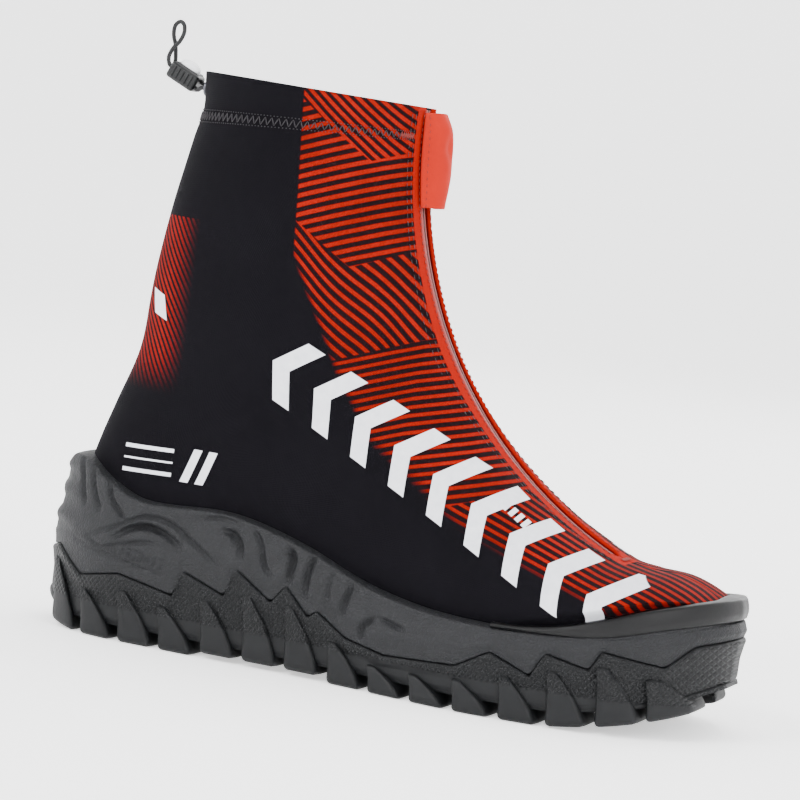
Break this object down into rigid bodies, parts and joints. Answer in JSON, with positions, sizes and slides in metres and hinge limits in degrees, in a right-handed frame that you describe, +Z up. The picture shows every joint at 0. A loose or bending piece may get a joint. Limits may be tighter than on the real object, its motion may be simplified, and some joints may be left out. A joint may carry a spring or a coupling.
{
  "type": "cross country boot",
  "caption": "Winter cross country boot: padded inner boot inside a zipped softshell gaiter, on a lugged cup sole, with a drawcord collar.",
  "frame": {"origin": "on the ground, under the middle of the outsole's length and width", "axes": "+X to the toe, +Z up, +Y to the medial side of a right boot"},
  "size_m": [0.303, 0.11, 0.2601],
  "materials": {
    "outsole_rubber": "matt",
    "midsole_foam": "fine leather grain",
    "rand_rubber": "satin",
    "steel": "brushed",
    "board": "pressed fibre",
    "stiffener": "matt",
    "liner_felt": "soft felt and foam",
    "webbing_black": "woven",
    "webbing_red": "woven",
    "cord_black": "braided",
    "plastic_black": "fine texture",
    "plastic_red": "satin",
    "plastic_white": "satin",
    "softshell": "woven softshell with a red stripe print",
    "zip_tape_red": "coated, smooth",
    "zip_chain": "moulded coil",
    "zip_metal": "dark enamel",
    "garage_fabric": "smooth knit"
  },
  "bodies": {
    "boot": {"outsole": "outsole_rubber", "midsole": "midsole_foam", "shank": "steel", "toe_rand": "rand_rubber", "lasting_board": "board", "footbed": "liner_felt", "heel_counter": "stiffener", "toe_puff": "stiffener", "inner_vamp": "liner_felt", "inner_quarter_lateral": "liner_felt", "inner_quarter_medial": "liner_felt", "inner_collar": "liner_felt", "tongue": "liner_felt", "lace_facing_lateral": "webbing_black", "lace_facing_medial": "webbing_black", "lace_guide_1": "webbing_red", "lace_guide_2": "webbing_red", "lace_guide_3": "webbing_red", "lace_guide_4": "webbing_red", "lace_guide_5": "webbing_red", "lace_guide_6": "webbing_red", "lace_guide_7": "webbing_red", "lace_guide_8": "webbing_red", "lace": "cord_black", "lace_lock_body": "plastic_black", "gaiter_lateral": "softshell", "gaiter_medial": "softshell", "back_seam_tape": "webbing_black", "collar_hem": "webbing_black", "zip_tape_lateral": "zip_tape_red", "zip_chain_lateral": "zip_chain", "zip_top_stop_lateral": "zip_metal", "cord_eyelet_lateral": "plastic_black", "drawcord_run_lateral": "cord_black", "drawcord_tail_lateral": "cord_black", "zip_tape_medial": "zip_tape_red", "zip_chain_medial": "zip_chain", "zip_top_stop_medial": "zip_metal", "cord_eyelet_medial": "plastic_black", "drawcord_run_medial": "cord_black", "drawcord_tail_medial": "cord_black", "zip_bottom_stop": "zip_metal", "storm_flap": "webbing_black"},
    "zip_slider": {"zip_slider": "zip_metal"},
    "zip_pull": {"zip_pull": "plastic_red"},
    "garage_tab": {"garage_tab": "garage_fabric"},
    "cord_lock": {"cord_lock_body": "plastic_black", "cord_lock_spring": "steel", "drawcord_loop": "cord_black"},
    "cord_lock_button": {"cord_lock_button": "plastic_white"},
    "lace_lock_button": {"lace_lock_button": "plastic_red"}
  },
  "joints": [
    {"name": "zip_slide", "type": "hinge", "parent": "boot", "child": "zip_slider", "pos_m": [0.171, 0, 0.23], "axis": [0, -1, 0], "range_deg": [0, 57.3]},
    {"name": "zip_pull_swing", "type": "hinge", "parent": "zip_slider", "child": "zip_pull", "pos_m": [-0.00666, 0, 0.21898], "axis": [0, -1, 0], "range_deg": [0, 150], "deforming": ["garage_tab"]},
    {"name": "garage_tab_open", "type": "hinge", "parent": "boot", "child": "garage_tab", "pos_m": [-0.00792, -0.008, 0.23563], "axis": [0.0815, 0, -0.9967], "range_deg": [0, 95]},
    {"name": "cord_lock_pull_out", "type": "slide", "parent": "boot", "child": "cord_lock", "axis": [-0.9078, 0, 0.4195], "range_m": [0, 0.01], "stiffness_N_per_m": 60, "deforming": ["drawcord_tail_lateral", "drawcord_tail_medial"]},
    {"name": "cord_lock_press", "type": "slide", "parent": "cord_lock", "child": "cord_lock_button", "axis": [-0.4195, 0, -0.9078], "range_m": [0, 0.0025], "stiffness_N_per_m": 400, "deforming": ["cord_lock_spring"]},
    {"name": "lace_lock_press", "type": "slide", "parent": "boot", "child": "lace_lock_button", "axis": [0.1045, 0, -0.9945], "range_m": [0, 0.002], "stiffness_N_per_m": 300}
  ]
}
